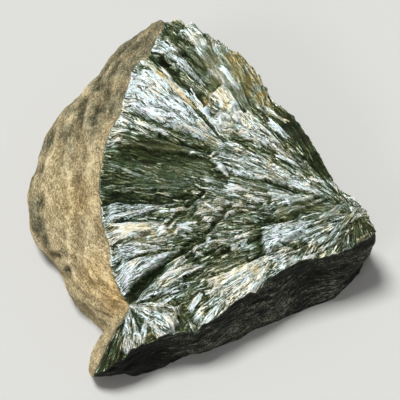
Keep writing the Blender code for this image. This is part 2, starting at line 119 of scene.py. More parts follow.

# Patches that change the look of the face: middle, half length, half width, heading in
# degrees, then the change in brightness, stain and pearl at the middle. What is left out at
# the end doesn't change. Brightness changes set tone and painted silvery sheen; some dark
# ones, along cracks and grooves, are painted shade.
patches = (
    ((-10.0, 8.8), 13.0, 3.6, 176, -0.23), ((-14.0, 11.9), 6.0, 1.3, 168, -0.22),
    ((-16.0, -1.8), 9.0, 1.9, 180, -0.34), ((10.6, 27.2), 10.0, 2.8, 122, 0.02, 0.95),
    ((6.5, 27.0), 10.0, 4.0, 125, 0.0, 0.25), ((5.4, 19.3), 2.0, 0.9, 60, 0.0, 0.9),
    ((1.8, 21.8), 2.2, 1.2, 60, 0.0, 0.9), ((-10.4, -9.0), 2.4, 0.8, 92, 0.06, 0.9),
    ((-6.6, -8.6), 2.4, 1.0, 92, 0.06, 0.9), ((-11.8, -31.6), 1.6, 1.0, 60, 0.05, 0.9),
    ((-10.5, 28.2), 4.2, 1.3, 139, 0.02, 0.9), ((14.2, -10.2), 3.4, 1.8, 95, -0.12),
    ((20.0, -9.6), 5.0, 2.2, 20, 0.1, 0.0, 0.2), ((7.0, 25.0), 6.5, 2.2, 128, 0.08),
    ((24.5, 11.0), 11.0, 3.4, 130, -0.4), ((18.4, 9.5), 4.0, 1.1, 155, -0.25),
    ((-12.3, -19.8), 8.0, 2.2, 41, -0.28, 0.0, 0.1), ((-4.0, -13.4), 5.0, 1.8, 41, -0.12),
    ((13.0, -19.0), 4.2, 1.0, 100, 0.0, 0.75), ((36.8, -7.8), 4.0, 2.6, 60, -0.14, 0.15, -0.2),
    ((36.0, -2.7), 3.0, 2.6, 150, 0.24, 0.0, 0.4), ((-18.3, 15.0), 6.0, 1.9, 66, 0.28, 0.15),
    ((2.0, -14.0), 5.0, 2.0, 20, -0.1), ((21.0, -4.3), 5.0, 0.8, 176, -0.14),
    ((5.8, 13.6), 2.8, 1.8, 150, 0.09), ((6.4, 0.0), 3.5, 1.6, 172, 0.1, 0.0, 0.1),
    ((20.8, -10.5), 3.5, 1.5, 35, 0.12, 0.0, 0.3), ((-5.0, 1.1), 4.0, 1.5, 180, 0.08, 0.0, 0.1),
    ((-21.0, -3.9), 2.5, 1.3, 0, -0.14), ((-15.0, 14.3), 3.0, 1.2, 160, -0.08),
    ((4.4, 22.6), 2.0, 1.4, 130, -0.06, 0.2), ((3.0, 27.5), 5.5, 2.4, 128, 0.03, 0.1),
    ((0.0, 34.2), 3.0, 1.4, 125, 0.14, 0.0, 0.1), ((-2.3, -11.2), 3.0, 1.6, 30, 0.16),
    ((19.3, -11.0), 4.0, 1.3, 15, 0.26, 0.0, 0.2), ((14.3, -10.8), 2.6, 2.4, 0, -0.2),
    ((14.0, -14.5), 4.0, 1.5, 25, -0.18), ((15.9, -6.5), 4.5, 1.4, 5, -0.18),
    ((27.3, -6.5), 3.5, 1.3, 5, -0.14), ((33.0, -4.3), 3.0, 1.8, 150, 0.12, 0.0, 0.3),
    ((-20.4, -7.6), 2.5, 1.8, 0, -0.22), ((2.3, 2.4), 3.5, 1.6, 170, 0.12, 0.0, 0.1),
    ((5.8, 14.3), 2.5, 1.5, 140, 0.12), ((-7.0, 35.8), 3.5, 1.2, 135, -0.2),
    ((22.7, -7.0), 6.0, 1.3, 20, -0.08), ((6.8, -7.9), 4.0, 1.6, 15, -0.08),
    ((-19.8, -35.0), 4.5, 3.2, 235, -0.26), ((-16.8, -28.0), 3.5, 1.6, 235, -0.2, 0.0, 0.2),
    ((-4.3, -26.8), 3.0, 1.2, 120, -0.2), ((2.0, -26.8), 3.2, 2.0, 120, -0.16),
    ((12.0, 0.5), 9.0, 2.6, 172, 0.1, 0.0, 0.2), ((23.0, 2.5), 12.0, 2.6, 165, 0.12, 0.0, 0.3),
    ((20.5, -1.2), 6.5, 1.5, 176, 0.14, 0.0, 0.3), ((-6.0, 2.2), 6.0, 1.8, 0, 0.1, 0.0, 0.2),
    ((9.0, -12.0), 4.0, 2.0, 30, 0.08), ((9.0, -19.0), 6.0, 3.0, 40, 0.08, 0.0, 0.2),
    ((-13.0, -10.0), 8.0, 2.8, 178, 0.26, 0.2, 0.2), ((0.0, 37.0), 3.5, 2.0, 130, -0.18),
    ((-5.0, -3.0), 5.0, 1.6, 0, -0.12), ((19.0, -3.4), 6.0, 2.0, 176, 0.16, 0.0, 0.3),
    ((9.1, -1.6), 4.0, 1.4, 172, 0.12), ((-4.0, 34.8), 2.0, 1.4, 130, -0.16),
    ((-9.5, 30.3), 6.0, 1.2, 145, -0.34), ((0.3, 21.3), 4.5, 0.9, 135, -0.28),
    ((-11.0, 35.5), 2.5, 1.6, 130, -0.12),
)

# Places where the fibres lie close and smooth, or stand apart: middle, half length,
# half width, heading, amount.
calmPlaces = (
    ((-10.0, 9.0), 14.0, 4.0, 176, 0.4), ((5.5, 26.0), 12.0, 6.0, 130, 0.9),
    ((21.0, -4.3), 6.0, 1.6, 176, 0.9), ((-8.0, 3.0), 13.0, 4.0, 0, 0.35),
    ((-10.0, -18.0), 11.0, 3.0, 41, 0.5), ((-13.0, -9.0), 9.0, 3.0, 0, 0.6),
    ((9.0, -18.5), 6.0, 3.5, 40, 0.4), ((7.0, 18.5), 4.0, 3.0, 130, 0.7),
    ((14.0, 2.0), 9.0, 3.0, 172, 0.3), ((25.0, -3.0), 9.0, 4.0, 176, 0.4),
)
roughPlaces = (
    ((-17.0, -4.5), 7.0, 2.0, 0, 0.6), ((-18.0, -17.5), 6.0, 5.0, 30, 0.6),
    ((-16.0, 24.0), 5.0, 4.0, 120, 0.3), ((-17.0, -32.0), 6.0, 5.0, 235, 0.6),
    ((4.0, -10.0), 10.0, 3.0, 20, 0.4),
)

# Bright flakes that stand out on the face: root, broken end, half width, lift, then the look;
# their brightness holds painted silvery sheen as well as tone.
flakes = (
    ((-2.3, -14.3), (-5.9, -17.1), 0.6, 0.45, 0.98, 0.0, 0.2),
    ((-2.0, -16.9), (-9.4, -19.8), 0.6, 0.45, 0.92, 0.1, 0.1),
    ((2.9, -9.9), (0.9, -11.4), 0.6, 0.4, 0.98, 0.0, 0.2),
    ((1.2, -10.7), (-0.5, -12.1), 0.6, 0.4, 0.98, 0.0, 0.2),
    ((0.0, -12.1), (-1.8, -13.2), 0.5, 0.4, 0.95, 0.0, 0.2),
    ((5.9, -8.3), (4.5, -9.4), 0.3, 0.2, 0.9, 0.0, 0.1),
    ((6.8, -13.2), (5.0, -14.5), 0.4, 0.3, 0.95, 0.0, 0.1),
    ((8.6, -11.9), (7.0, -12.7), 0.4, 0.3, 0.95, 0.0, 0.1),
    ((10.9, -10.8), (9.3, -11.9), 0.6, 0.35, 0.94, 0.0, 0.3),
    ((3.7, 9.7), (1.8, 8.6), 0.4, 0.3, 0.95, 0.0, 0.2),
    ((10.6, 7.4), (8.7, 6.8), 0.4, 0.3, 0.95, 0.0, 0.2),
    ((19.0, 5.8), (17.4, 4.9), 0.4, 0.3, 0.95, 0.0, 0.2),
    ((22.9, 3.8), (21.1, 3.3), 0.4, 0.3, 0.95, 0.0, 0.2),
    ((29.5, -9.6), (26.7, -11.2), 0.4, 0.3, 0.92, 0.0, 0.3),
    ((-4.7, 30.6), (-7.0, 32.3), 0.5, 0.4, 0.95, 0.0, 0.3),
    ((-11.6, 23.1), (-14.9, 24.0), 0.5, 0.3, 0.97, 0.0, 0.4),
    ((9.6, 15.6), (6.2, 19.2), 1.2, 0.55, 0.9, 0.1, 0.0),
    ((6.0, 19.6), (3.4, 22.2), 0.9, 0.45, 0.88, 0.3, 0.0),
    ((9.1, -9.4), (7.9, -10.1), 0.3, 0.2, 0.9, 0.0, 0.2),
    ((0.0, -16.0), (-3.2, -16.9), 0.4, 0.25, 0.7, 0.1, 0.1),
    ((1.1, -21.1), (-2.5, -26.1), 0.9, 0.5, 0.92, 0.05, 0.6),
    ((7.6, -20.9), (1.1, -22.2), 0.6, 0.4, 0.92, 0.1, 0.2),
    ((-4.9, -22.2), (-9.0, -24.8), 0.7, 0.3, 0.72, 0.0, 0.9),
    ((16.3, -15.4), (12.6, -20.4), 0.7, 0.45, 0.9, 0.2, 0.1),
    ((26.9, -13.6), (22.8, -15.6), 0.5, 0.35, 0.85, 0.05, 0.2),
    ((28.9, -12.7), (27.3, -14.3), 0.4, 0.25, 0.92, 0.0, 0.1),
    ((30.8, -12.5), (29.6, -14.3), 0.4, 0.25, 0.92, 0.0, 0.1),
    ((23.9, 5.4), (17.5, 8.6), 0.6, 0.4, 0.92, 0.05, 0.3),
    ((29.5, 2.0), (25.0, 3.3), 0.5, 0.3, 0.9, 0.0, 0.2),
    ((19.6, 10.4), (12.0, 13.8), 0.5, 0.35, 0.9, 0.1, 0.1),
    ((1.8, 9.3), (-2.3, 8.6), 0.3, 0.3, 0.9, 0.0, 0.2),
    ((7.3, 3.3), (3.9, 6.3), 0.6, 0.35, 0.8, 0.05, 0.4),
    ((14.3, 9.9), (12.4, 11.3), 0.5, 0.3, 0.88, 0.05, 0.3),
    ((9.8, 22.6), (4.9, 28.3), 0.8, 0.45, 0.86, 0.0, 0.5),
    ((21.5, 14.8), (15.1, 18.7), 0.6, 0.3, 0.7, 0.35, 0.0),
    ((21.7, 11.1), (15.7, 15.9), 0.8, 0.35, 0.74, 0.0, 0.9),
    ((6.2, 12.0), (-2.3, 23.1), 1.0, 0.45, 0.86, 0.0, 0.6),
    ((3.0, 18.5), (0.7, 22.4), 0.4, 0.3, 0.75, 1.0, 0.0),
    ((2.3, 13.6), (-0.5, 15.7), 0.7, 0.3, 0.82, 0.6, 0.0),
    ((6.7, 9.7), (1.2, 12.5), 1.0, 0.4, 0.7, 0.15, 0.1),
    ((0.0, 32.5), (-3.3, 37.0), 0.9, 0.45, 0.86, 0.0, 0.4),
    ((36.9, -2.3), (29.5, -10.5), 1.0, 0.35, 0.52, 0.0, 0.8),
    ((34.2, -1.2), (27.3, -6.5), 1.0, 0.35, 0.62, 0.0, 0.9),
    ((39.0, -8.3), (35.6, -11.0), 0.5, 0.3, 0.62, 0.7, 0.0),
    ((38.0, -3.4), (34.2, -0.5), 0.5, 0.3, 0.75, 0.3, 0.0),
    ((11.9, 0.6), (5.7, 1.3), 0.6, 0.35, 0.85, 0.05, 0.2),
    ((15.5, -1.6), (10.3, -0.3), 0.6, 0.3, 0.8, 0.1, 0.3),
    ((22.8, -0.7), (15.5, 0.6), 0.6, 0.3, 0.66, 0.0, 0.2),
    ((-11.4, -3.9), (-21.8, -6.2), 0.7, 0.5, 0.8, 0.0, 0.8),
    ((-6.6, -8.5), (-9.8, -8.8), 1.2, 0.8, 0.86, 0.1, 0.3),
    ((-7.7, -7.0), (-9.5, -9.0), 0.6, 0.6, 0.92, 0.05, 0.2),
    ((-5.5, -6.5), (-6.8, -8.3), 0.5, 0.5, 0.9, 0.3, 0.1),
    ((-4.5, -7.4), (-5.9, -9.6), 0.5, 0.4, 0.86, 0.5, 0.0),
    ((-7.9, -9.6), (-9.1, -10.5), 0.4, 0.4, 0.8, 0.2, 0.0),
    ((-10.2, -13.8), (-19.1, -20.4), 1.1, 0.6, 0.94, 0.05, 0.6),
    ((-5.5, 12.9), (-15.3, 16.6), 0.6, 0.3, 0.92, 0.1, 0.2),
    ((-9.0, -26.3), (-5.4, -30.4), 1.1, 0.5, 0.72, 0.0, 0.3),
    ((4.9, -24.8), (1.3, -29.3), 1.0, 0.4, 0.8, 0.05, 0.4),
    ((1.2, 17.3), (-13.3, 30.1), 0.9, 0.5, 0.84, 0.9, 0.0),
    ((-0.5, 19.8), (-9.3, 28.7), 0.7, 0.4, 0.86, 0.0, 0.3),
    ((14.3, 12.0), (3.5, 16.8), 1.0, 0.4, 0.8, 0.05, 0.4),
    ((25.2, -9.0), (18.1, -10.5), 0.9, 0.45, 0.9, 0.0, 0.5),
    ((-11.9, -27.4), (-13.1, -33.4), 0.9, 0.45, 0.9, 0.0, 0.3),
    ((-0.9, -8.5), (-5.4, -7.9), 0.9, 0.4, 0.88, 0.0, 0.4),
    ((0.0, -6.5), (-4.5, -7.4), 0.4, 0.3, 0.9, 0.0, 0.4),
    ((10.3, 1.1), (6.4, 2.0), 0.5, 0.3, 0.9, 0.0, 0.2),
    ((3.4, -4.5), (1.1, -3.2), 0.4, 0.25, 0.8, 0.0, 0.3),
    ((-11.4, 2.4), (-21.1, 6.8), 0.5, 0.3, 0.5, 0.0, 0.3),
    ((0.0, -2.7), (-6.8, -4.3), 0.5, 0.3, 0.75, 0.2, 0.1),
)


def noiseAt(x, y, z):
    spots = np.broadcast_arrays(np.asarray(x, float), y, z)
    return np.array([noise.noise(spot) for spot in zip(*(s.tolist() for s in spots))])


def wrapped(angle):
    return (angle + math.pi) % math.tau - math.pi


def smoothStep(low, high, value):
    t = np.clip((value - low) / (high - low), 0.0, 1.0)
    return t * t * (3.0 - 2.0 * t)


def distanceToPath(points, path):
    # From every point to the nearest place on a line of straight runs.
    nearest = np.full(len(points), 1e9)
    for first, last in zip(path, path[1:]):
        start = np.array(first)
        run = np.array(last) - start
        share = np.clip((points - start) @ run / (run @ run), 0.0, 1.0)
        away = points - start - share[:, None] * run
        nearest = np.minimum(nearest, np.sqrt((away ** 2).sum(axis=1)))
    return nearest


def ridged(sample):
    return 1.0 - 2.0 * np.abs(sample)


def ridgesAt(across, along, seed):
    return ridged(noiseAt(across / face["ridgeWidth"], along / face["ridgeLength"], seed))


def headingOf(root, tip):
    return math.atan2(tip[1] - root[1], tip[0] - root[0])


def sprayHeight(x, y, number):
    # Height of one spray over the points inside it.
    root, tip, halfAngle, lift, cant = sprays[number][:5]
    length = math.dist(root, tip)
    reach = np.hypot(x - root[0], y - root[1])
    angle = wrapped(np.arctan2(y - root[1], x - root[0]) - headingOf(root, tip))
    across = angle / math.radians(halfAngle)
    near = np.nonzero((reach <= length * 1.25) & (np.abs(across) <= 1.3))[0]
    reach, angle, across = reach[near], angle[near], across[near]
    side = reach * angle
    ragged = 0.1 * noiseAt(side / 1.3, 7.0, number)
    wavy = 0.16 * noiseAt(reach / 3.0, 3.0, number)
    body = 1.0 - smoothStep(0.8, 1.02, np.abs(across + wavy))
    ending = 1.0 - smoothStep(0.93, 1.0, reach / length + ragged)
    rise = smoothStep(-0.05, 0.55, reach / length)
    shape = lift + cant * across + face["ridgeHeight"] * ridgesAt(side, reach, number)
    return near, shape * body * ending * rise


def skinFade(x, y):
    away = distanceToPath(np.column_stack((x, y)), skinRim)
    left = face["skinFadeLeft"]
    return left + (1.0 - left) * smoothStep(0.0, face["skinFadeWidth"], away)


def faceSurface(x, y, crackWarp=0.0):
    # The solid's own face, and for every point the spray on top and its place in the fan.
    # A warp, in mm, makes the cracks wander and a little shallower.
    z = face["height"] + face["rise"] * y
    along = (x - face["spurStart"][0]) * face["spurHeading"][0]
    along = along + (y - face["spurStart"][1]) * face["spurHeading"][1]
    z = z - face["spurDip"] * np.maximum(0.0, along)
    z = z + face["swellHeight"] * noiseAt(x / face["swellLength"], y / face["swellLength"], 2.0)
    fanX, fanY = face["fanCentre"]
    reach = np.hypot(x - fanX, y - fanY)
    bearing = np.arctan2(y - fanY, x - fanX) % math.tau
    relief = face["groundRidges"] * ridgesAt(bearing * face["groundRadius"], reach, 0.5)
    top = np.zeros(len(x))
    owner = np.full(len(x), len(sprays))
    for number in range(len(sprays)):
        near, height = sprayHeight(x, y, number)
        higher = height > top[near]
        top[near[higher]] = height[higher]
        owner[near[higher & (height > 0.12)]] = number
    depth = np.zeros(len(x))
    warpX = crackWarp * noiseAt(x / 3.4, y / 3.4, 5.0)
    warpY = crackWarp * noiseAt(x / 3.4, y / 3.4, 11.0)
    wandering = np.column_stack((x + warpX, y + warpY))
    for halfWidth, deep, *path in cracks:
        away = distanceToPath(wandering, path)
        depth = np.maximum(depth, deep * (1.0 - smoothStep(0.25, 1.0, away / halfWidth)))
    fade = skinFade(x, y)
    z = z + (relief + top - depth * (1.0 - 0.25 * crackWarp)) * fade
    return {"z": z, "owner": owner, "depth": depth, "fade": fade}


# Small blades that lie on the sprays like shingles, in three sizes. "turned" is the share of
# them whose own fibres run apart from those beneath.
bladeSizes = (
    {"count": 420, "length": (6.0, 12.0), "halfAngle": (4.0, 9.0), "lift": (0.18, 0.42),
     "tone": 0.08, "turned": 1.0},
    {"count": 1200, "length": (2.8, 6.5), "halfAngle": (4.0, 10.0), "lift": (0.12, 0.3),
     "tone": 0.1, "turned": 0.35},
    {"count": 2600, "length": (1.3, 3.0), "halfAngle": (5.0, 12.0), "lift": (0.08, 0.2),
     "tone": 0.13, "turned": 0.15},
)
bladeSwing = 9.0        # degrees; six tenths of it is the spread of the blades' headings
bladeWave = 0.05        # how far its fibres weave, as a share of its half angle
reversedShare = 0.3     # share of the blades whose broken end faces the other way


def startingFans():
    # Where the fibres of each spray, and last of the ground under them, fan out from:
    # origin, heading, radius at which a fibre has its own width, seed, wave and its phase.
    fans = []
    for number, (root, tip, *_) in enumerate(sprays):
        fans.append((*root, headingOf(root, tip), 0.6 * math.dist(root, tip), number, 0.0, 0.0))
    fans.append((*face["fanCentre"], math.pi, face["groundRadius"], -1.0, 0.0, 0.0))
    return fans


def bladeFan(root, heading, length, spread, behind, seed, phase):
    # The blade's fan begins a little behind its own root, so its sides are nearly straight.
    startX = root[0] - math.cos(heading) * behind
    startY = root[1] - math.sin(heading) * behind
    return startX, startY, heading, behind + 0.6 * length, seed, bladeWave * spread, phase


def overBlade(x, y, fan, behind, length, spread):
    # The points under a blade, how far across it they are, and its outline from 0 to 1.
    far = (x - fan[0]) ** 2 + (y - fan[1]) ** 2
    near = np.nonzero((far < (behind + length) ** 2 * 1.1) & (far > behind ** 2 * 0.8))[0]
    bent, reach = placeInFan(x[near], y[near], fan)
    across = bent / (spread * length / (behind + length))
    inside = np.abs(across) < 1.05
    near, reach, bent, across = near[inside], reach[inside], bent[inside], across[inside]
    side = reach * bent
    phase = fan[6]
    ragged = 0.05 * np.sin(side * 9.0 + phase) + 0.035 * np.sin(side * 23.0 + phase * 3.0)
    along = (reach - behind) / length + ragged
    body = 1.0 - smoothStep(0.82, 1.0, np.abs(across))
    ending = 1.0 - smoothStep(0.94, 1.0, along)
    return near, across, body * ending * smoothStep(0.0, 0.6, along)


def growBlades(x, y, base, draw):
    # Lay the blades over the face, largest first, and keep what is on top at each point.
    fans = startingFans()
    top = np.zeros(len(x))
    tone = np.zeros(len(x))
    fan = base["owner"].copy()
    calm = np.zeros(len(x))
    flatness = 1.0 - 0.6 * amountOver(x, y, calmPlaces)
    for size in bladeSizes:
        for number in range(size["count"]):
            start = draw.randrange(len(x))
            root = fans[base["owner"][start]][:2]
            heading = headingOf(root, (x[start], y[start]))
            heading += math.radians(draw.gauss(0.0, bladeSwing * 0.6))
            if draw.random() < reversedShare:
                heading += math.pi
            length = draw.uniform(*size["length"])
            spread = math.radians(draw.uniform(*size["halfAngle"]))
            lift = draw.uniform(*size["lift"]) * flatness[start]
            shift = draw.gauss(0.0, size["tone"])
            cant = draw.uniform(-0.5, 0.5) * lift
            behind = length * draw.uniform(0.3, 0.9)
            rootX = x[start] - math.cos(heading) * length * 0.5
            rootY = y[start] - math.sin(heading) * length * 0.5
            phase = draw.uniform(0.0, math.tau)
            bladesOwn = bladeFan((rootX, rootY), heading, length, spread, behind, number % 97 + 40.0, phase)
            near, across, outline = overBlade(x, y, bladesOwn, behind, length, spread)
            height = (lift + cant * across) * outline
            higher = height > top[near] * 0.98 + 0.02
            chosen = near[higher]
            top[chosen] = height[higher]
            tone[chosen] = shift
            if draw.random() < size["turned"]:
                fans.append(bladesOwn)
                fan[chosen] = len(fans) - 1
                calm[chosen] = draw.uniform(0.0, 0.6)
    flake = np.full(len(x), -1)
    for number, (root, tip, halfWidth, lift, *_) in enumerate(flakes):
        length = math.dist(root, tip)
        spread = halfWidth / length
        fans.append(bladeFan(root, headingOf(root, tip), length, spread, length, number + 200.0, number))
        near, _, outline = overBlade(x, y, fans[-1], length, length, spread)
        chosen = near[outline > 0.25]
        moat = 0.1 * np.sin(math.pi * np.clip(outline / 0.3, 0.0, 1.0))
        top[near] = top[near] * (1.0 - 0.5 * outline) + lift * outline - moat
        flake[chosen] = number
        fan[chosen] = len(fans) - 1
        calm[chosen] = 0.7
    return {"height": top, "tone": tone, "fan": fan, "calm": calm, "flake": flake, "fans": np.array(fans)}


def placeInFan(x, y, fan):
    # Angle from the fan's middle and distance from its origin.
    startX, startY, heading, _, _, wave, phase = fan
    reach = np.hypot(x - startX, y - startY)
    turn = wrapped(np.arctan2(y - startY, x - startX) - heading)
    return turn + wave * np.sin(reach * 1.9 + phase), reach


def amountOver(x, y, places):
    # The strongest of the long round places at every point of the face.
    total = np.zeros(len(x))
    for (midX, midY), halfLength, halfWidth, degrees, amount in places:
        turn = math.radians(degrees)
        along = (x - midX) * math.cos(turn) + (y - midY) * math.sin(turn)
        across = (y - midY) * math.cos(turn) - (x - midX) * math.sin(turn)
        away = np.hypot(along / halfLength, across / halfWidth)
        total = np.maximum(total, amount * (1.0 - smoothStep(0.45, 1.1, away)))
    return total


def calmOfFace(x, y, blades):
    # How close and smooth the fibres lie, from 0 to 1.
    return np.clip(blades["calm"] + amountOver(x, y, calmPlaces) - amountOver(x, y, roughPlaces), 0.0, 1.0)


def lookOfFace(x, y, base, blades, calm):
    # Brightness, stain and pearl for every point of the face. The brightness holds painted
    # silvery sheen as well as the stone's tone.
    looks = np.array([spray[5:8] for spray in sprays] + [groundLook])
    bright, stain, pearl = looks[base["owner"]].T
    bright = bright + blades["tone"] * (1.0 - 0.5 * calm)
    for middle, halfLength, halfWidth, degrees, *changes in patches:
        share = amountOver(x, y, ((middle, halfLength, halfWidth, degrees, 1.0),))
        for values, change in zip((bright, stain, pearl), changes):
            values += change * share
    # Painted shade: the face darkens with the depth of the cracks.
    bright = bright - 0.1 * np.minimum(1.0, base["depth"])
    flakeLooks = np.array([flake[4:7] for flake in flakes] + [(0.0, 0.0, 0.0)])
    onFlake = blades["flake"] >= 0
    look = np.where(onFlake, flakeLooks[blades["flake"]].T, (bright, stain, pearl))
    bright, stain, pearl = look
    return np.clip(bright, 0.0, 1.0), np.clip(stain, 0.0, 1.0), np.clip(pearl, 0.0, 1.0)


# Ridges and hollows of the weathered skin, in mm from the middle of the base:
# height, half width, then the points along it.
skinFolds = (
    (1.1, 1.3, (-23.6, 31.0, 22.6), (-27.1, 27.1, 21.2), (-28.8, 23.0, 21.3), (-30.1, 20.1, 20.7),
     (-31.6, 16.0, 19.5)),
    (-1.0, 1.4, (-27.1, 24.4, 21.8), (-27.9, 20.3, 22.2), (-28.3, 15.8, 22.0)),
    (0.65, 1.1, (-24.6, 25.2, 23.4), (-26.1, 21.8, 22.9), (-26.5, 18.4, 23.6), (-25.6, 13.8, 23.7)),
    (-0.9, 1.0, (-24.3, 22.6, 23.4), (-24.5, 18.9, 23.5), (-24.9, 14.6, 24.1)),
    (0.6, 1.1, (-21.1, 18.6, 25.7), (-22.7, 15.8, 25.2), (-24.2, 12.4, 24.9)),
    (-1.1, 0.9, (-23.2, 32.6, 22.4), (-24.0, 28.7, 23.2), (-24.2, 25.6, 23.2)),
    (0.8, 1.3, (-20.6, 30.4, 26.6), (-22.2, 28.8, 24.8), (-23.0, 26.7, 24.3)),
    (-0.7, 1.0, (-18.9, 34.6, 27.0), (-21.1, 33.0, 24.7), (-22.6, 31.6, 23.4)),
    (0.6, 1.0, (-33.3, 18.2, 18.4), (-34.3, 12.4, 17.2), (-36.0, 7.0, 15.8)),
    (0.65, 1.6, (-31.8, 9.5, 18.8), (-31.2, 4.2, 18.2), (-30.2, -1.2, 17.8), (-29.8, -6.7, 16.1),
     (-29.9, -10.7, 14.3), (-29.6, -15.4, 10.8)),
    (-0.5, 2.0, (-30.2, 9.0, 19.8), (-28.9, 3.0, 19.4), (-28.0, -3.0, 18.3), (-27.8, -9.0, 16.1)),
    (-0.7, 0.8, (-32.6, 11.0, 18.3), (-31.9, 7.0, 18.5), (-31.6, 4.4, 18.0)),
    (-0.5, 0.7, (-27.4, 11.6, 21.9), (-27.0, 8.6, 22.2), (-27.2, 5.8, 22.0)),
    (-0.5, 0.7, (-24.2, 10.4, 24.9), (-24.0, 7.6, 24.6), (-24.4, 5.6, 24.1)),
    (-1.0, 1.5, (-35.3, -10.6, 6.2), (-32.2, -12.9, 10.2)),
    (-0.7, 1.5, (-32.6, -15.4, 5.5), (-30.4, -16.8, 9.2)),
    (0.6, 1.0, (-26.0, -13.0, 16.0), (-25.4, -18.0, 13.6), (-22.8, -22.0, 13.6)),
)

# Grey-green places on the skin, partly its own stain and partly painted shade at its left
# margin and upper part: amount, radius, middle.
skinStainsAndShade = (
    (0.95, 4.0, (-39.0, 0.3, 11.7)), (0.95, 3.8, (-37.9, -4.6, 10.6)), (0.8, 2.6, (-36.4, -8.3, 9.3)),
    (0.7, 6.0, (-36.5, 16.0, 15.0)), (0.7, 5.0, (-38.8, 8.0, 13.0)),
    (0.7, 1.9, (-31.5, -13.1, 11.7)), (0.9, 2.0, (-30.4, -16.5, 8.6)),
    (0.5, 1.8, (-26.6, -8.4, 17.8)), (0.5, 1.5, (-25.2, -13.0, 16.1)),
    (0.9, 8.0, (-25.2, 18.5, 23.6)), (0.65, 6.0, (-29.6, 16.0, 20.6)), (0.7, 3.5, (-25.5, 11.6, 23.8)),
    (0.6, 3.0, (-30.4, 10.6, 19.6)), (0.9, 8.5, (-22.5, 29.0, 25.0)), (0.7, 7.0, (-30.0, 22.0, 20.0)),
    (0.95, 9.0, (-16.0, 37.0, 27.0)), (0.95, 7.0, (-11.5, 40.5, 29.0)), (0.9, 6.0, (-19.0, 18.0, 28.5)),
    (1.0, 5.0, (-16.5, 26.5, 31.0)), (1.0, 5.0, (-12.5, 32.0, 33.0)), (0.9, 4.0, (-9.5, 37.5, 34.5)),
    (0.6, 1.6, (-26.9, 7.0, 22.4)), (0.6, 1.8, (-31.5, 6.8, 18.9)), (0.6, 1.5, (-24.0, 7.0, 24.7)),
)

# Warmer places on the skin, and rusty ones at the top of the back wall.
warmPlaces = (
    (1.0, 6.0, (-18.5, -25.5, 14.0)), (0.7, 6.0, (-23.0, -20.5, 13.0)), (0.4, 7.0, (-27.5, -3.0, 18.0)),
    (0.9, 6.5, (13.0, 27.0, 31.0)), (0.9, 5.0, (19.0, 18.0, 27.5)), (0.6, 5.0, (6.0, 34.0, 33.0)),
)

# Lighter and darker places on the broken walls: amount, radius, middle.
wallLights = ((0.7, 8.0, (18.0, -25.0, 4.0)), (0.5, 7.0, (2.0, -34.0, 4.0)), (0.8, 5.0, (31.0, -12.0, 8.0)))
wallDarks = (
    (0.8, 7.0, (23.0, -20.5, 13.5)), (1.5, 12.0, (-15.0, -39.0, 7.0)), (0.7, 5.0, (7.0, -30.0, 13.5)),
)

# Where the weathered skin ends: its right edge, mm, and at the spur the point of the rim that
# the border runs through, the way from there to the skin, and how soft the border is, mm.
skinBorder = (-7.0, 16, (-0.842, 0.539), 0.9)

# Which walls face the front, and the ways that lead along the front and the back walls.
frontWall = {"slope": 0.6, "start": -18.0, "along": (0.89, 0.45), "alongBack": (-0.7, 0.7)}

# Where the foot of the front wall is tucked in: how far back, radius, middle; and up to what height.
footTucks = ((3.0, 17.5, (-24.5, -41.5)), (1.5, 10.0, (1.0, -34.2)))
footHeight = 6.0

# Hollows in the broken walls: depth, radius, middle.
wallScoops = (
    (0.7, 5.5, (24.5, -20.5, 10.5)), (0.5, 4.0, (13.0, -26.5, 13.5)), (0.6, 5.0, (-8.0, -38.0, 7.0)),
    (1.2, 7.0, (34.0, 9.0, 9.0)), (1.0, 6.0, (14.0, 33.0, 20.0)),
)

# The stone itself.
stone = {
    "node": "seraphinite_chunk", "slot": "seraphinite", "body": "root",
    "merge": 0.001,                # mm between corners of the solid that are one
    "faceNear": 0.02,              # mm within which a corner lies on the broken face
    "cuts": 3,                     # new points along each edge of the solid
    "roundingPasses": 10,          # smoothing of the solid's facets
    "baseTouch": 0.0001,           # height, mm, under which the solid's corners are base
    "baseEdge": 2.4,               # the same, once it is smoothed, for what faces down,
    "baseFacing": -0.2,            # which is a normal whose upward part is under this
    "sideFade": 4.0,               # height, mm, over which side relief dies out at the base
    "crackWarp": 1.3,              # how far the cracks wander, mm
    "fullRelief": 1.4,             # distance from the rim, mm, where side relief is full
    "skinLumps": ((0.9, 11.0), (0.55, 4.5), (0.22, 1.6), (0.12, 0.8)),
    "skinRidges": ((0.5, 4.6), (0.3, 1.9)),
    "foldWander": (0.55, 3.0),     # how far the folds wander and how often, mm
    "rimRagged": ((0.35, 1.1), (0.2, 0.5)),
    "wallSteps": ((0.26, 2.6), (0.18, 0.9)),
    "wallTerraces": (0.6, 7.0, 0.22),    # height, length along the wall and step, mm
    "wallBends": ((2.6, 17.0), (0.9, 6.0)),    # how far the wall's layers bend up and down
    "seed": 7,
}


def startStone():
    # A copy of the solid whose triangles share their corners.
    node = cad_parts[stone["node"]]
    mesh = node.data.copy()
    mesh.name = "seraphiniteStone"
    piece = bpy.data.objects.new("seraphiniteStone", mesh)
    bpy.context.collection.objects.link(piece)
    bpy.ops.object.select_all(action="DESELECT")
    piece.select_set(True)
    bpy.context.view_layer.objects.active = piece
    onWholeMesh(bpy.ops.mesh.remove_doubles, threshold=stone["merge"] * mm)
    return piece


def onWholeMesh(operator, **settings):
    # Run one mesh operator on all of the active piece.
    bpy.ops.object.mode_set(mode="EDIT")
    bpy.ops.mesh.select_all(action="SELECT")
    operator(**settings)
    bpy.ops.object.mode_set(mode="OBJECT")


def readAll(items, name, width, kind=float):
    # One value of all the items, with a row for each.
    values = np.empty(len(items) * width, kind)
    items.foreach_get(name, values)
    return values.reshape(-1, width)


def ownPlace(points):
    # Points in the stone's own measurements, seen from above.
    return points[:, 0] - stoneShift[0], points[:, 1] - stoneShift[1]


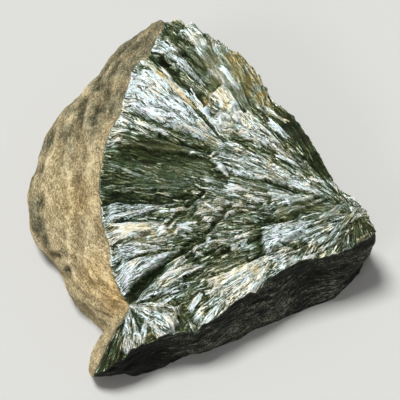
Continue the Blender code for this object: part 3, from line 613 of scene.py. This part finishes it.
def markFace(mesh):
    # Triangles of the broken face are those whose corners all lie on its surface.
    points = readAll(mesh.vertices, "co", 3) / mm
    onFace = np.abs(points[:, 2] - faceSurface(*ownPlace(points))["z"]) < stone["faceNear"]
    flags = onFace[readAll(mesh.polygons, "vertices", 3, int)].all(axis=1)
    marks = mesh.attributes.new("broken", "BOOLEAN", "FACE")
    marks.data.foreach_set("value", flags)
    return int(flags.sum())


def skinShare(x, y):
    # 1 on the weathered skin and 0 on the broken walls, with a soft border between.
    right, corner, (leanX, leanY), softness = skinBorder
    spurX, spurY = skinRim[corner]
    beside = (x - spurX) * leanX + (y - spurY) * leanY
    away = np.where(y > spurY, right - x, beside)
    return smoothStep(-softness, softness, away)


def layers(points, sizes, stretch, shaping=lambda sample: sample):
    # Noise of several sizes, drawn out by the stretch.
    total = np.zeros(len(points))
    for height, length in sizes:
        total += height * shaping(noiseAt(*(points * stretch / length).T))
    return total


def meanOfNeighbours(values, edges, passes):
    # The values evened out along the edges, a few passes of it.
    first, second = edges.T
    count = np.bincount(edges.ravel(), minlength=len(values))
    for _ in range(passes):
        total = np.bincount(first, values[second], len(values))
        total += np.bincount(second, values[first], len(values))
        values = 0.5 * values + 0.5 * total / np.maximum(count, 1)
    return values


def amountNear(points, marks):
    # The strongest of the round marks at every point.
    total = np.zeros(len(points))
    for amount, radius, middle in marks:
        away = np.sqrt(((points - np.array(middle)) ** 2).sum(axis=1))
        total = np.maximum(total, amount * (1.0 - smoothStep(0.2, 1.25, away / radius)))
    return total


def skinPlaces(points):
    # Down the skin, along its rim, and outwards, in mm.
    bearing = np.arctan2(points[:, 1], points[:, 0]) % math.tau
    return np.column_stack((points[:, 2], bearing * 34.0, np.hypot(points[:, 0], points[:, 1])))


def skinRelief(points):
    relief = layers(skinPlaces(points), stone["skinRidges"], (1.0, 0.3, 1.0), ridged)
    relief += layers(points, stone["skinLumps"], (1.0, 0.6, 0.9)) - stone["skinRidges"][0][0] * 0.5
    shift, length = stone["foldWander"]
    x, y, z = (points / length).T
    wander = np.column_stack((noiseAt(x, y, z), noiseAt(x, y, z + 9.0), noiseAt(x, y + 9.0, z)))
    for height, halfWidth, *path in skinFolds:
        away = distanceToPath(points + shift * wander, path)
        relief += height * (1.0 - smoothStep(0.0, 1.0, away / halfWidth))
    return relief


def wallRelief(points):
    # Fine splintery ridges on broad terraces, and a few scoops.
    height, length, step = stone["wallTerraces"]
    relief = layers(points, stone["wallSteps"], (0.35, 0.35, 1.6), ridged)
    levels = height * noiseAt(*(points / (length, length, length * 0.45)).T) / step
    share = levels - np.floor(levels)
    relief += (np.floor(levels) + smoothStep(0.5, 1.0, share) - 0.5) * step - 0.3
    return relief - amountNear(points, wallScoops)


def fibrePlaces(points, faceCorners, faceIndex, blades):
    # For each corner of the face's triangles, its place along and across one blade's fibres.
    local = faceIndex[faceCorners]
    highest = blades["height"][local].argmax(axis=1)
    chosen = blades["fan"][local[np.arange(len(local)), highest]]
    fans = blades["fans"][chosen].repeat(3, axis=0)
    bent, reach = placeInFan(*ownPlace(points[faceCorners.ravel()]), fans.T)
    return np.column_stack((bent * fans[:, 3], reach, fans[:, 4] * 1.7))


def shapeFace(points, faceIds):
    # Raise the broken face, and give the blades that lie on it.
    x, y = ownPlace(points[faceIds])
    base = faceSurface(x, y, stone["crackWarp"])
    draw = random.Random(stone["seed"])
    blades = growBlades(x, y, base, draw)
    points[faceIds, 2] = base["z"] + blades["height"] * base["fade"]
    return base, blades


def tuckFoot(points, onFace):
    # Draw the foot of the front wall back under the stone, in the places that are listed.
    for reach, radius, middle in footTucks:
        away = np.hypot(*(points[:, :2] - np.array(middle)).T) / radius
        share = (1.0 - smoothStep(0.2, 1.0, away)) * (1.0 - smoothStep(0.0, footHeight, points[:, 2]))
        points[:, 1] += np.where(onFace, 0.0, reach * share)


def raggedRim(points, rimIds):
    # Chip the edge between face and sides a little in and out.
    rim = points[rimIds]
    outwards = rim[:, :2] / np.hypot(rim[:, 0], rim[:, 1])[:, None]
    points[rimIds, :2] += outwards * layers(rim, stone["rimRagged"], (1.0, 1.0, 1.0))[:, None]


def shapeSides(points, normals, sideIds, rimIds, skin, edges):
    # Skin relief and wall steps, which die out at the rim and at the base.
    spots = points[sideIds]
    rim = kdtree.KDTree(len(rimIds))
    for index in rimIds:
        rim.insert(points[index], index)
    rim.balance()
    fromRim = np.array([rim.find(spot)[2] for spot in spots])
    share = skin[sideIds]
    relief = share * skinRelief(spots) + (1.0 - share) * wallRelief(spots)
    offRim = smoothStep(0.0, stone["fullRelief"], fromRim)
    relief *= offRim * smoothStep(0.0, stone["sideFade"], spots[:, 2])
    raised = np.zeros(len(points))
    raised[sideIds] = relief
    raised = meanOfNeighbours(raised, edges, 1)
    points[sideIds] = spots + (normals * raised[:, None])[sideIds]
    points[sideIds, 2] = np.maximum(points[sideIds, 2], 0.0)
    return fromRim, raised


def shapeStone(piece):
    mesh = piece.data
    flags = readAll(mesh.attributes["broken"].data, "value", 1, bool)[:, 0]
    corners = readAll(mesh.polygons, "vertices", 3, int)
    onFace = np.zeros(len(mesh.vertices), bool)
    onFace[corners[flags]] = True
    onSide = np.zeros(len(mesh.vertices), bool)
    onSide[corners[~flags]] = True
    onBase = readAll(mesh.vertices, "co", 3)[:, 2] < stone["baseTouch"] * mm
    onWholeMesh(bpy.ops.mesh.vertices_smooth, factor=0.5, repeat=stone["roundingPasses"])

    # The base is flat out to its edge, and the face gets its own height again.
    points = readAll(mesh.vertices, "co", 3) / mm
    normals = readAll(mesh.vertices, "normal", 3)
    onBase |= (points[:, 2] < stone["baseEdge"]) & (normals[:, 2] < stone["baseFacing"])
    points[onBase, 2] = 0.0
    tuckFoot(points, onFace)
    faceIds = np.nonzero(onFace)[0]
    sideIds = np.nonzero(~onFace & ~onBase)[0]
    rimIds = np.nonzero(onFace & onSide)[0]
    base, blades = shapeFace(points, faceIds)
    raggedRim(points, rimIds)
    print("blades laid")
    skin = skinShare(*ownPlace(points))
    edges = readAll(mesh.edges, "vertices", 2, int)
    fromRim, raised = shapeSides(points, normals, sideIds, rimIds, skin, edges)
    mesh.vertices.foreach_set("co", (points * mm).ravel())

    # What the finish reads: look and fibre direction on the face, skin and wall elsewhere.
    heights = points[:, 2]
    sharp = (heights - meanOfNeighbours(heights, edges, 3))[faceIds]
    soft = (heights - meanOfNeighbours(heights, edges, 16))[faceIds]
    x, y = ownPlace(points)
    calm = calmOfFace(x[faceIds], y[faceIds], blades)
    bright, stain, pearl = lookOfFace(x[faceIds], y[faceIds], base, blades, calm)
    # Painted shade in hollows between the blades and painted highlight on their raised edges.
    sharp = np.clip(sharp / 0.05, -1.0, 1.0)
    relief = np.where(sharp < 0.0, 0.18, 0.1) * sharp + np.clip(soft / 0.25, -1.0, 1.0) * 0.08
    bright = bright + 0.06 + relief * (1.0 - 0.5 * calm)
    look = np.zeros((len(points), 4))
    look[faceIds, :3] = np.column_stack((np.clip(bright, 0.1, 1.0), stain, pearl))
    look[:, 3] = onFace
    front = y < frontWall["slope"] * x + frontWall["start"]
    alongWall = np.where(front, *(a * x + b * y for a, b in (frontWall["along"], frontWall["alongBack"])))
    bend = layers(points, stone["wallBends"], (1.0, 1.0, 1.0))
    onWall = np.column_stack((heights + bend, alongWall, front * 3.0))
    outside = np.where(skin[:, None] > 0.5, skinPlaces(points), onWall)
    fibre = outside[corners].reshape(-1, 3)
    faceIndex = np.zeros(len(points), int)
    faceIndex[faceIds] = np.arange(len(faceIds))
    fibre[flags.repeat(3)] = fibrePlaces(points, corners[flags], faceIndex, blades)
    # The second channel is how calm the face is, how grey the skin (stain and painted shade),
    # how dark the walls.
    side = np.zeros((len(points), 4))
    side[:, 0] = skin
    side[faceIds, 1] = calm
    spots = points[sideIds]
    onSkin = amountNear(spots, skinStainsAndShade) - 0.3 * (1.0 - smoothStep(0.1, 0.8, fromRim))
    walls = amountNear(spots, wallDarks) - amountNear(spots, wallLights)
    side[sideIds, 1] = np.where(skin[sideIds] > 0.5, onSkin, walls)
    side[sideIds, 2] = amountNear(spots, warmPlaces)
    # The fourth channel paints shade in the creases of skin and walls and light on their ridges.
    raised -= meanOfNeighbours(raised, edges, 30)
    side[:, 3] = np.clip(0.5 + raised / 1.2, 0.0, 1.0)
    paint(mesh, "look", "FLOAT_COLOR", "POINT", look)
    paint(mesh, "side", "FLOAT_COLOR", "POINT", side)
    paint(mesh, "fibre", "FLOAT_VECTOR", "CORNER", fibre)
    mesh.update()


def paint(mesh, name, kind, domain, values):
    layer = mesh.attributes.new(name, kind, domain)
    layer.data.foreach_set("vector" if kind == "FLOAT_VECTOR" else "color", values.ravel())


# The finish: colours at places along a ramp, and single ones that tint.
colours = {
    # The fibres ramp: dark green up to white, whose pale end is painted silvery sheen.
    "fibres": ((0.0, (0.004, 0.007, 0.003)), (0.16, (0.016, 0.023, 0.010)),
               (0.34, (0.068, 0.087, 0.045)), (0.5, (0.175, 0.202, 0.138)),
               (0.66, (0.38, 0.41, 0.345)), (0.81, (0.73, 0.75, 0.7)), (0.95, (1.0, 1.0, 1.0))),
    "hues": ((0.2, (1.05, 1.0, 0.76)), (0.4, (1.02, 1.0, 0.91)), (0.56, (0.98, 1.0, 1.0)),
             (0.74, (0.82, 1.0, 1.06)), (0.92, (0.96, 0.98, 1.1))),
    "moss": (0.9, 1.0, 0.76),
    "ochre": (0.72, 0.55, 0.23),
    "skin": ((0.33, (0.095, 0.072, 0.037)), (0.5, (0.282, 0.225, 0.121)), (0.66, (0.58, 0.49, 0.31))),
    "skinGrey": ((0.34, (0.022, 0.022, 0.013)), (0.5, (0.092, 0.086, 0.050)), (0.66, (0.25, 0.23, 0.145))),
    "skinWarm": (1.04, 0.89, 0.69),
    # The wall ramp is darker than the stone's own green, as painted shade.
    "wall": ((0.34, (0.001, 0.002, 0.001)), (0.5, (0.008, 0.010, 0.006)),
             (0.59, (0.030, 0.033, 0.022)), (0.71, (0.19, 0.2, 0.15))),
}


class Finish:
    # A material with its nodes laid out from left to right as they are added.
    def __init__(self, name):
        self.material = bpy.data.materials.new(name)
        self.material.use_nodes = True
        self.tree = self.material.node_tree
        self.shader = self.tree.nodes["Principled BSDF"]
        self.shader.location = (1200, 0)
        self.tree.nodes["Material Output"].location = (1500, 0)
        self.placed = 0

    def add(self, kind, settings=None, inputs=None):
        # Inputs are given by name, or by number where names repeat.
        item = self.tree.nodes.new("ShaderNode" + kind)
        item.location = (-1400 + 200 * (self.placed % 12), 400 - 260 * (self.placed // 12))
        self.placed += 1
        for key, value in (settings or {}).items():
            setattr(item, key, value)
        for key, value in (inputs or {}).items():
            self.set(item.inputs[key], value)
        return item

    def set(self, socket, value):
        if isinstance(value, bpy.types.NodeSocket):
            self.tree.links.new(value, socket)
        else:
            socket.default_value = value

    def attribute(self, name):
        return self.add("Attribute", {"attribute_name": name})

    def channels(self, item):
        return self.add("SeparateColor", inputs={"Color": item.outputs["Color"]}).outputs[:3]

    def math(self, operation, a, b, clamp):
        return self.add("Math", {"operation": operation, "use_clamp": clamp}, {0: a, 1: b}).outputs[0]

    def times(self, a, b, clamp=False):
        return self.math("MULTIPLY", a, b, clamp)

    def plus(self, a, b, clamp=False):
        return self.math("ADD", a, b, clamp)

    def scaled(self, vector, by):
        # The scale is one number, or one for each direction.
        by = by if isinstance(by, tuple) else (by, by, by)
        return self.add("VectorMath", {"operation": "MULTIPLY"}, {0: vector, 1: by}).outputs[0]

    def noise(self, vector, by, detail=2.0, roughness=0.55, distortion=0.0):
        item = self.add("TexNoise", inputs={
            "Vector": self.scaled(vector, by), "Scale": 1.0, "Detail": detail,
            "Roughness": roughness, "Distortion": distortion})
        return item.outputs["Fac"]

    def spread(self, value, low, high, toLow=0.0, toHigh=1.0):
        item = self.add("MapRange", inputs={
            "Value": value, "From Min": low, "From Max": high, "To Min": toLow, "To Max": toHigh})
        return item.outputs["Result"]

    def ramp(self, value, stops):
        item = self.add("ValToRGB", inputs={"Fac": value})
        elements = item.color_ramp.elements
        elements[0].position, elements[0].color = stops[0][0], (*stops[0][1], 1.0)
        elements[1].position, elements[1].color = stops[-1][0], (*stops[-1][1], 1.0)
        for place, colour in stops[1:-1]:
            elements.new(place).color = (*colour, 1.0)
        return item.outputs["Color"]

    def mix(self, share, a, b, blend="MIX"):
        a, b = ((*value, 1.0) if isinstance(value, tuple) else value for value in (a, b))
        item = self.add("Mix", {"data_type": "RGBA", "blend_type": blend}, {0: share, 6: a, 7: b})
        return item.outputs[2]

    def tint(self, colour, by):
        return self.mix(1.0, colour, by, "MULTIPLY")

    def mixValue(self, share, a, b):
        return self.add("Mix", {"data_type": "FLOAT"}, {0: share, 2: a, 3: b}).outputs[0]

    def weigh(self, *parts):
        # The sum of the parts, each less its own middle and times its own weight.
        total = None
        for value, middle, weight in parts:
            share = self.times(self.math("SUBTRACT", value, middle, False), weight)
            total = share if total is None else self.plus(total, share)
        return total

    def cells(self, vector, by, seeds="F1"):
        # Needle-shaped cells: a chance value for each, or how far in from its edge a point is.
        item = self.add("TexVoronoi", {"feature": seeds}, {
            "Vector": self.scaled(vector, by), "Scale": 1.0, "Randomness": 1.0})
        if seeds == "F1":
            return self.channels(item)[0]
        return item.outputs["Distance"]


def finishStone():
    finish = Finish("seraphiniteFinish")
    spread, mix, ramp, weigh = finish.spread, finish.mix, finish.ramp, finish.weigh
    times, plus, tint = finish.times, finish.plus, finish.tint
    cells, grain = finish.cells, finish.noise
    white = (1.0, 1.0, 1.0)
    look = finish.attribute("look")
    side = finish.attribute("side")
    fibre = finish.attribute("fibre").outputs["Vector"]
    place = finish.add("TexCoord").outputs["Object"]
    bright, stain, pearl = finish.channels(look)
    faceShare = look.outputs["Alpha"]
    skin, mark, warmth = finish.channels(side)
    # The crest channel: painted shade in creases, painted light on ridges.
    crest = side.outputs["Alpha"]

    # Fibres: broad and thin needles, each with its own brightness, and streaks, gaps and
    # painted glints along them. The pale top of the ramp is painted silvery sheen.
    broad = cells(fibre, (1.7, 0.15, 1.0))
    thin = cells(fibre, (5.4, 0.34, 1.0))
    gap = spread(cells(fibre, (5.4, 0.34, 1.0), "DISTANCE_TO_EDGE"), 0.0, 0.14)
    hair = spread(grain(fibre, (5.6, 0.24, 1.0), 4.0, 0.7), 0.34, 0.66)
    seam = spread(grain(fibre, (2.6, 0.17, 1.0), 3.0, 0.6), 0.36, 0.43)
    fleck = spread(grain(place, 2300.0, 2.0), 0.34, 0.66)
    glint = spread(cells(fibre, (5.0, 0.46, 1.3)), 0.88, 0.94)
    swing = weigh((broad, 0.5, 0.2), (thin, 0.5, 0.26), (hair, 0.5, 0.42), (fleck, 0.5, 0.24),
                  (gap, 0.85, 0.26), (seam, 0.85, 0.3), (glint, 0.1, 0.36))
    contrast = spread(bright, 0.15, 0.65, 0.78, 1.2)
    contrast = times(contrast, spread(bright, 0.66, 0.92, 1.0, 1.35))
    contrast = times(contrast, spread(mark, 0.0, 1.0, 1.42, 0.45))
    level = plus(bright, times(swing, contrast), True)
    fresh = ramp(level, colours["fibres"])
    hue = weigh((grain(fibre, (1.3, 0.14, 1.0), 2.0), 0.5, 1.1),
                (grain(place, 260.0, 2.0), 0.5, 1.3),
                (thin, 0.5, 0.22), (pearl, 0.0, 0.26))
    hue = plus(hue, 0.48, True)
    fresh = tint(fresh, ramp(hue, colours["hues"]))
    mossy = tint(fresh, colours["moss"])
    fresh = mix(spread(bright, 0.55, 0.25), fresh, mossy)
    rust = spread(grain(place, 420.0, 3.0), 0.36, 0.6)
    rust = times(stain, rust, True)
    ochre = tint(mix(0.16, fresh, white), colours["ochre"])
    fresh = mix(rust, fresh, ochre)

    # Broken walls: long fine streaks with sparse painted glints, on a ground kept darker than the
    # stone's own green as painted shade.
    wallGrain = weigh((grain(place, (90.0, 90.0, 160.0), 3.0), 0.5, 0.4),
                      (spread(cells(fibre, (3.2, 0.55, 1.0)), 0.93, 0.97), 0.05, 0.16),
                      (grain(fibre, (2.2, 0.12, 1.0), 4.0, 0.65), 0.5, 0.5),
                      (grain(fibre, (6.0, 0.15, 1.0), 3.0, 0.75), 0.5, 0.95),
                      (grain(place, (700.0, 700.0, 1100.0), 3.0), 0.5, 0.35),
                      (grain(place, 2300.0, 2.0), 0.5, 0.6),
                      (crest, 0.5, 0.2), (mark, 0.0, -0.09))
    wallGrain = plus(wallGrain, 0.5)
    wall = ramp(wallGrain, colours["wall"])
    rusty = tint(mix(0.25, wall, white), colours["ochre"])
    wall = mix(times(warmth, spread(wallGrain, 0.4, 0.56)), wall, rusty)

    # Weathered skin: sandy grains drawn out along the rim, grey-green where it is stained and
    # where its grey paints shade, warmer in places.
    lumps = grain(fibre, (0.5, 0.16, 0.5), 5.0, 0.66)
    strands = grain(fibre, (4.2, 0.75, 4.2), 4.0, 0.75)
    grit = grain(place, 2100.0, 3.0, 0.7)
    shade = weigh((lumps, 0.5, 0.3), (strands, 0.5, 0.9), (grit, 0.5, 0.55), (crest, 0.5, 0.28))
    shade = plus(shade, 0.5)
    tan = ramp(shade, colours["skin"])
    tan = mix(warmth, tan, tint(tan, colours["skinWarm"]))
    mottle = spread(grain(place, 260.0, 5.0, 0.7), 0.3, 0.7, -0.16, 0.16)
    patchy = spread(grain(fibre, (0.62, 0.3, 0.5), 5.0, 0.72), 0.36, 0.64, 0.3, 1.45)
    grey = plus(times(mark, patchy), mottle)
    grey = spread(grey, 0.06, 0.74, 0.0, 0.95)
    rind = mix(grey, tan, ramp(shade, colours["skinGrey"]))

    outside = mix(skin, wall, rind)
    finish.set(finish.shader.inputs["Base Color"], mix(faceShare, outside, fresh))
    faceRough = spread(level, 0.2, 0.9, 0.46, 0.3)
    sideRough = finish.mixValue(skin, 0.6, 0.88)
    finish.set(finish.shader.inputs["Roughness"], finish.mixValue(faceShare, sideRough, faceRough))
    gleam = times(spread(level, 0.2, 0.75, 0.15, 0.8), faceShare)
    gleam = times(gleam, spread(level, 0.84, 0.98, 1.0, 0.35))
    finish.set(finish.shader.inputs["Metallic"], gleam)
    finish.shader.inputs["Specular IOR Level"].default_value = 0.15

    ribs = plus(times(gap, 0.5), times(hair, 0.5))
    height = finish.mixValue(faceShare, finish.mixValue(skin, wallGrain, shade), ribs)
    bump = finish.add("Bump", inputs={"Strength": 1.0, "Distance": 0.22 * mm, "Height": height})
    finish.set(finish.shader.inputs["Normal"], bump.outputs["Normal"])
    return finish.material


piece = startStone()
print("face triangles", markFace(piece.data), "of", len(piece.data.polygons))
onWholeMesh(bpy.ops.mesh.subdivide, number_cuts=stone["cuts"])
print("fine triangles", len(piece.data.polygons))
shapeStone(piece)
piece.data.materials.clear()
piece.data.materials.append(finishStone())
for polygon in piece.data.polygons:
    polygon.use_smooth = False
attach(piece, stone["body"])
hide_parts(stone["node"])
print("stone finished")


# Studio: a pale floor, a soft key from the upper left, and a camera 55 degrees up.
studio = {
    "floorSize": 12.0, "floorColour": (0.42, 0.42, 0.415),
    "lookAt": (0.05, -4.06, 20.0), "elevation": 55.0, "distance": 383.0, "lens": 150.0,
    "sensorWidth": 36.0, "clipStart": 0.01, "lampsAimAt": (0.0, 0.0, 0.015),
    "worldColour": (1.0, 0.995, 0.975), "aboveStrength": 0.29,
    "horizonStrength": 0.77, "horizonHeight": 0.3,
}
# Each lamp shines from its place towards the stone; "softness" is how wide it looks, in degrees.
lamps = (
    {"name": "keyLamp", "place": (-0.32, 0.17, 1.2), "softness": 19.0, "strength": 4.4,
     "colour": (0.99, 0.99, 0.97)},
    {"name": "sideLamp", "place": (-0.62, -0.92, 0.88), "softness": 19.0, "strength": 0.6,
     "colour": (1.0, 0.98, 0.95)},
)


def makeFloor():
    bpy.ops.object.select_all(action="DESELECT")
    bpy.ops.mesh.primitive_plane_add(size=studio["floorSize"], location=(0, 0, 0))
    floor = bpy.context.active_object
    floor.name = "studioFloor"
    finish = Finish("floorFinish")
    finish.shader.inputs["Base Color"].default_value = (*studio["floorColour"], 1.0)
    finish.shader.inputs["Roughness"].default_value = 0.9
    floor.data.materials.append(finish.material)


def stand(name, data, place, target):
    # An object in its place that looks at the target.
    thing = bpy.data.objects.new(name, data)
    bpy.context.collection.objects.link(thing)
    thing.location = place
    thing.rotation_euler = (Vector(target) - thing.location).to_track_quat("-Z", "Y").to_euler()
    return thing


def makeLamps():
    for lamp in lamps:
        light = bpy.data.lights.new(lamp["name"], "SUN")
        light.energy = lamp["strength"]
        light.angle = math.radians(lamp["softness"])
        light.color = lamp["colour"]
        stand(lamp["name"], light, lamp["place"], studio["lampsAimAt"])


def makeCamera():
    camera = bpy.data.cameras.new("viewCamera")
    camera.lens = studio["lens"]
    camera.sensor_width = studio["sensorWidth"]
    camera.clip_start = studio["clipStart"]
    target = Vector(studio["lookAt"]) * mm
    tilt = math.radians(studio["elevation"])
    back = Vector((0.0, -math.cos(tilt), math.sin(tilt))) * studio["distance"] * mm
    bpy.context.scene.camera = stand("viewCamera", camera, target + back, target)


def makeWorld():
    world = bpy.data.worlds.new("studioWorld")
    world.use_nodes = True
    # Pale at the horizon, to meet the floor, and darker above.
    nodes, links = world.node_tree.nodes, world.node_tree.links
    background = nodes["Background"]
    background.inputs["Color"].default_value = (*studio["worldColour"], 1.0)
    direction = nodes.new("ShaderNodeTexCoord")
    split = nodes.new("ShaderNodeSeparateXYZ")
    fade = nodes.new("ShaderNodeMapRange")
    fade.interpolation_type = "SMOOTHSTEP"
    fade.inputs["From Max"].default_value = studio["horizonHeight"]
    fade.inputs["To Min"].default_value = studio["horizonStrength"]
    fade.inputs["To Max"].default_value = studio["aboveStrength"]
    links.new(direction.outputs["Generated"], split.inputs[0])
    links.new(split.outputs["Z"], fade.inputs["Value"])
    links.new(fade.outputs["Result"], background.inputs["Strength"])
    bpy.context.scene.world = world
    bpy.context.scene.view_settings.view_transform = "Standard"


makeFloor()
makeLamps()
makeCamera()
makeWorld()
print("studio ready")
